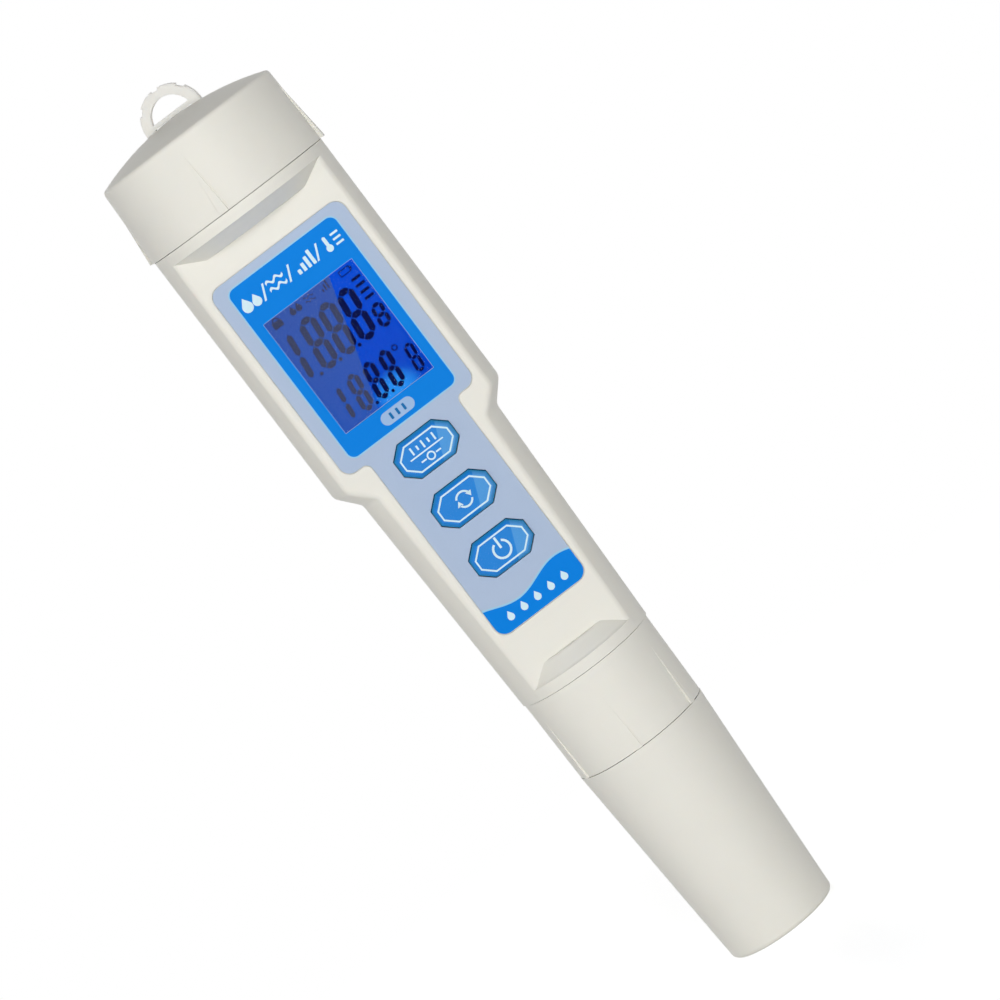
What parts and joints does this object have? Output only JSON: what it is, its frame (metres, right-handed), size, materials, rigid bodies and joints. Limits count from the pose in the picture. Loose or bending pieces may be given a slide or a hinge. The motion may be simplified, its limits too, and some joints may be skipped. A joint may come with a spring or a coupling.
{
  "type": "water quality test pen",
  "caption": "Handheld water tester: display and keys on a flat front, screwed battery cap with loop, plug-in sensor module under a pull-off cap.",
  "frame": {"origin": "centre of the underside of the sensor cap, on which the pen stands", "axes": "+Z along the pen from the sensor cap to the battery cap, -Y out of the flat front with the display, +X to the right as seen from the front"},
  "size_m": [0.039, 0.039, 0.1898],
  "materials": {
    "ivory_shell": "fine satin moulded ABS, warm white",
    "loop_plastic": "slightly translucent moulded plastic",
    "printed_film": "satin printed polyester film, lavender grey and blue",
    "key_blue": "glossy printed blue with a pale rim line",
    "clear_pane": "clear polished acrylic",
    "display_glass": "glossy blue lit display",
    "light_guide": "milky light guide",
    "inner_plastic": "natural white moulded plastic",
    "black_plastic": "black moulded plastic",
    "circuit_board": "green solder mask",
    "strip_rubber": "soft silicone with carbon layers",
    "seal_rubber": "black nitrile rubber",
    "steel": "nickel-plated steel",
    "cell_steel": "bright nickel-plated can",
    "gold_plate": "gold-plated brass",
    "sensor_plastic": "satin moulded plastic",
    "resin": "black potting resin",
    "sensor_glass": "thin clear glass",
    "silver": "bright silver wire",
    "ceramic": "porous white ceramic",
    "sponge": "open-cell wetted sponge"
  },
  "bodies": {
    "housing": {"main_housing": "ivory_shell", "front_film": "printed_film", "display_window": "clear_pane", "lcd_glass": "display_glass", "lcd_frame": "black_plastic", "contact_strips": "strip_rubber", "backlight_panel": "light_guide", "main_board": "circuit_board", "board_components": "black_plastic", "board_screws": "steel", "key_switches": "black_plastic", "inner_chassis": "inner_plastic", "sensor_socket": "black_plastic", "battery_holder": "black_plastic", "battery_contacts": "steel", "button_cells": "cell_steel"},
    "cap_seal_carrier": {"battery_cap_seal": "seal_rubber"},
    "battery_cover": {"battery_cap": "ivory_shell", "lanyard_loop": "loop_plastic", "cap_contact_plate": "steel"},
    "calibrate_key": {"calibrate_button": "key_blue", "calibrate_plunger": "black_plastic"},
    "mode_key": {"mode_button": "key_blue", "mode_plunger": "black_plastic"},
    "power_key": {"power_button": "key_blue", "power_plunger": "black_plastic"},
    "sensor_module": {"sensor_body": "sensor_plastic", "plug_seal": "seal_rubber", "barrel_seal": "seal_rubber", "connector_pins": "gold_plate", "potting_disc": "resin", "ph_glass_bulb": "sensor_glass", "silver_wire": "silver", "conductivity_pins": "gold_plate", "temperature_probe": "steel", "reference_junction": "ceramic"},
    "union_collar": {"sensor_collar": "ivory_shell"},
    "sensor_cover": {"sensor_cap": "ivory_shell", "wetting_sponge": "sponge"}
  },
  "joints": [
    {"name": "battery_cap_lift", "type": "slide", "parent": "housing", "child": "cap_seal_carrier", "axis": [0, 0, 1], "range_m": [0, 0.0061]},
    {"name": "battery_cap_turn", "type": "hinge", "parent": "cap_seal_carrier", "child": "battery_cover", "pos_m": [0, 0, 0.17], "axis": [0, 0, 1], "range_deg": [0, 1080]},
    {"name": "sensor_release", "type": "slide", "parent": "housing", "child": "sensor_module", "axis": [0, 0, -1], "range_m": [0, 0.0051]},
    {"name": "collar_turn", "type": "hinge", "parent": "sensor_module", "child": "union_collar", "pos_m": [0, 0, 0.05], "axis": [0, 0, -1], "range_deg": [0, 720]},
    {"name": "sensor_cap_pull", "type": "slide", "parent": "sensor_module", "child": "sensor_cover", "axis": [0, 0, -1], "range_m": [0, 0.06]},
    {"name": "calibrate_press", "type": "slide", "parent": "housing", "child": "calibrate_key", "axis": [0, 1, 0], "range_m": [0, 0.00035], "stiffness_N_per_m": 3000},
    {"name": "mode_press", "type": "slide", "parent": "housing", "child": "mode_key", "axis": [0, 1, 0], "range_m": [0, 0.00035], "stiffness_N_per_m": 3000},
    {"name": "power_press", "type": "slide", "parent": "housing", "child": "power_key", "axis": [0, 1, 0], "range_m": [0, 0.00035], "stiffness_N_per_m": 3000}
  ],
  "couplings": [
    {"joint": "battery_cap_lift", "follows": "battery_cap_turn", "m_per_rad": 0.00031831},
    {"joint": "sensor_release", "follows": "collar_turn", "m_per_rad": 0.00039789}
  ]
}
